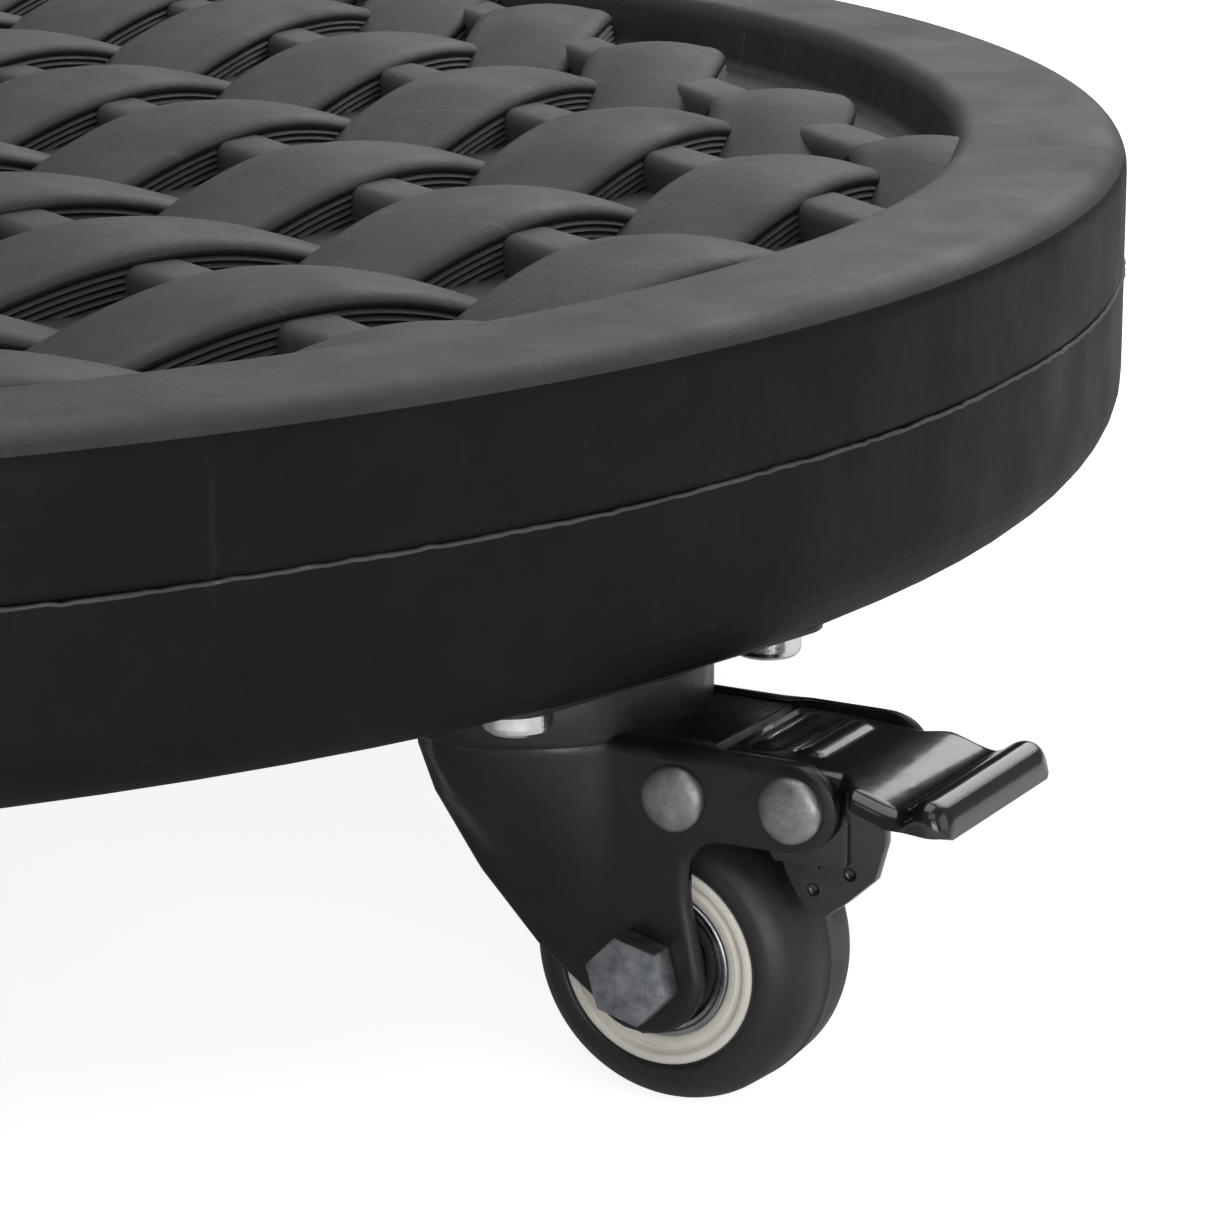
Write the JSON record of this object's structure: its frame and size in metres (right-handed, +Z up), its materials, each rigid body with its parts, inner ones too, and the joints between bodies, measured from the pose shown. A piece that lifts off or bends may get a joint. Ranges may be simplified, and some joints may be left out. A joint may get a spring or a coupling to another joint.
{
  "type": "plant pot caddy",
  "caption": "Round hollow plastic plant pot caddy with a moulded wicker top and swivel castors with foot brakes.",
  "frame": {"origin": "centre of the round deck on the floor plane", "axes": "+Z up; the castors stand on the diagonals between X and Y, the front being towards -Y"},
  "size_m": [0.4749, 0.475, 0.0985],
  "materials": {
    "deck_plastic": "moulded charcoal plastic, fine grain",
    "painted_steel": "black coated sheet steel",
    "pedal_paint": "glossy black paint",
    "zinc_steel": "zinc plated, mottled",
    "rivet_steel": "dull plated steel with light tarnish",
    "bright_steel": "ground steel",
    "spring_steel": "oiled spring steel",
    "bearing_steel": "steel ring with dark seal",
    "cream_plastic": "off-white moulded plastic, slightly soiled",
    "tyre": "satin dark grey cast polyurethane"
  },
  "bodies": {
    "deck": {"deck_upper_shell": "deck_plastic", "deck_lower_shell": "deck_plastic", "castor_screws": "zinc_steel", "kingpins": "rivet_steel", "front_right_plate": "painted_steel", "rear_right_plate": "painted_steel", "rear_left_plate": "painted_steel", "front_left_plate": "painted_steel"},
    "front_right_swivel": {"front_right_fork": "painted_steel", "front_right_race_balls": "bright_steel", "front_right_rivets": "rivet_steel", "front_right_axle_bolt": "zinc_steel", "front_right_axle_nut": "zinc_steel", "front_right_axle_sleeve": "bright_steel", "front_right_brake_spring": "spring_steel"},
    "front_right_wheel": {"front_right_wheel_core": "cream_plastic", "front_right_tyre": "tyre", "front_right_bearings": "bearing_steel"},
    "front_right_brake": {"front_right_brake_pedal": "pedal_paint"},
    "rear_right_swivel": {"rear_right_fork": "painted_steel", "rear_right_race_balls": "bright_steel", "rear_right_rivets": "rivet_steel", "rear_right_axle_bolt": "zinc_steel", "rear_right_axle_nut": "zinc_steel", "rear_right_axle_sleeve": "bright_steel", "rear_right_brake_spring": "spring_steel"},
    "rear_right_wheel": {"rear_right_wheel_core": "cream_plastic", "rear_right_tyre": "tyre", "rear_right_bearings": "bearing_steel"},
    "rear_right_brake": {"rear_right_brake_pedal": "pedal_paint"},
    "rear_left_swivel": {"rear_left_fork": "painted_steel", "rear_left_race_balls": "bright_steel", "rear_left_rivets": "rivet_steel", "rear_left_axle_bolt": "zinc_steel", "rear_left_axle_nut": "zinc_steel", "rear_left_axle_sleeve": "bright_steel", "rear_left_brake_spring": "spring_steel"},
    "rear_left_wheel": {"rear_left_wheel_core": "cream_plastic", "rear_left_tyre": "tyre", "rear_left_bearings": "bearing_steel"},
    "rear_left_brake": {"rear_left_brake_pedal": "pedal_paint"},
    "front_left_swivel": {"front_left_fork": "painted_steel", "front_left_race_balls": "bright_steel", "front_left_rivets": "rivet_steel", "front_left_axle_bolt": "zinc_steel", "front_left_axle_nut": "zinc_steel", "front_left_axle_sleeve": "bright_steel", "front_left_brake_spring": "spring_steel"},
    "front_left_wheel": {"front_left_wheel_core": "cream_plastic", "front_left_tyre": "tyre", "front_left_bearings": "bearing_steel"},
    "front_left_brake": {"front_left_brake_pedal": "pedal_paint"}
  },
  "joints": [
    {"name": "front_right_swivel_turn", "type": "hinge", "parent": "deck", "child": "front_right_swivel", "pos_m": [0.14616, -0.14616, 0.05], "axis": [0, 0, 1], "continuous": true},
    {"name": "front_right_wheel_spin", "type": "hinge", "parent": "front_right_swivel", "child": "front_right_wheel", "pos_m": [0.16498, -0.15756, 0.019], "axis": [0.518, 0.8554, 0], "continuous": true},
    {"name": "front_right_brake_press", "type": "hinge", "parent": "front_right_swivel", "child": "front_right_brake", "pos_m": [0.18226, -0.16802, 0.0429], "axis": [0.518, 0.8554, 0], "range_deg": [0, 18]},
    {"name": "rear_right_swivel_turn", "type": "hinge", "parent": "deck", "child": "rear_right_swivel", "pos_m": [0.14616, 0.14616, 0.05], "axis": [0, 0, 1], "continuous": true},
    {"name": "rear_right_wheel_spin", "type": "hinge", "parent": "rear_right_swivel", "child": "rear_right_wheel", "pos_m": [0.15756, 0.16498, 0.019], "axis": [-0.8554, 0.518, 0], "continuous": true},
    {"name": "rear_right_brake_press", "type": "hinge", "parent": "rear_right_swivel", "child": "rear_right_brake", "pos_m": [0.16802, 0.18226, 0.0429], "axis": [-0.8554, 0.518, 0], "range_deg": [0, 18]},
    {"name": "rear_left_swivel_turn", "type": "hinge", "parent": "deck", "child": "rear_left_swivel", "pos_m": [-0.14616, 0.14616, 0.05], "axis": [0, 0, 1], "continuous": true},
    {"name": "rear_left_wheel_spin", "type": "hinge", "parent": "rear_left_swivel", "child": "rear_left_wheel", "pos_m": [-0.16498, 0.15756, 0.019], "axis": [-0.518, -0.8554, 0], "continuous": true},
    {"name": "rear_left_brake_press", "type": "hinge", "parent": "rear_left_swivel", "child": "rear_left_brake", "pos_m": [-0.18226, 0.16802, 0.0429], "axis": [-0.518, -0.8554, 0], "range_deg": [0, 18]},
    {"name": "front_left_swivel_turn", "type": "hinge", "parent": "deck", "child": "front_left_swivel", "pos_m": [-0.14616, -0.14616, 0.05], "axis": [0, 0, 1], "continuous": true},
    {"name": "front_left_wheel_spin", "type": "hinge", "parent": "front_left_swivel", "child": "front_left_wheel", "pos_m": [-0.15756, -0.16498, 0.019], "axis": [0.8554, -0.518, 0], "continuous": true},
    {"name": "front_left_brake_press", "type": "hinge", "parent": "front_left_swivel", "child": "front_left_brake", "pos_m": [-0.16802, -0.18226, 0.0429], "axis": [0.8554, -0.518, 0], "range_deg": [0, 18]}
  ]
}
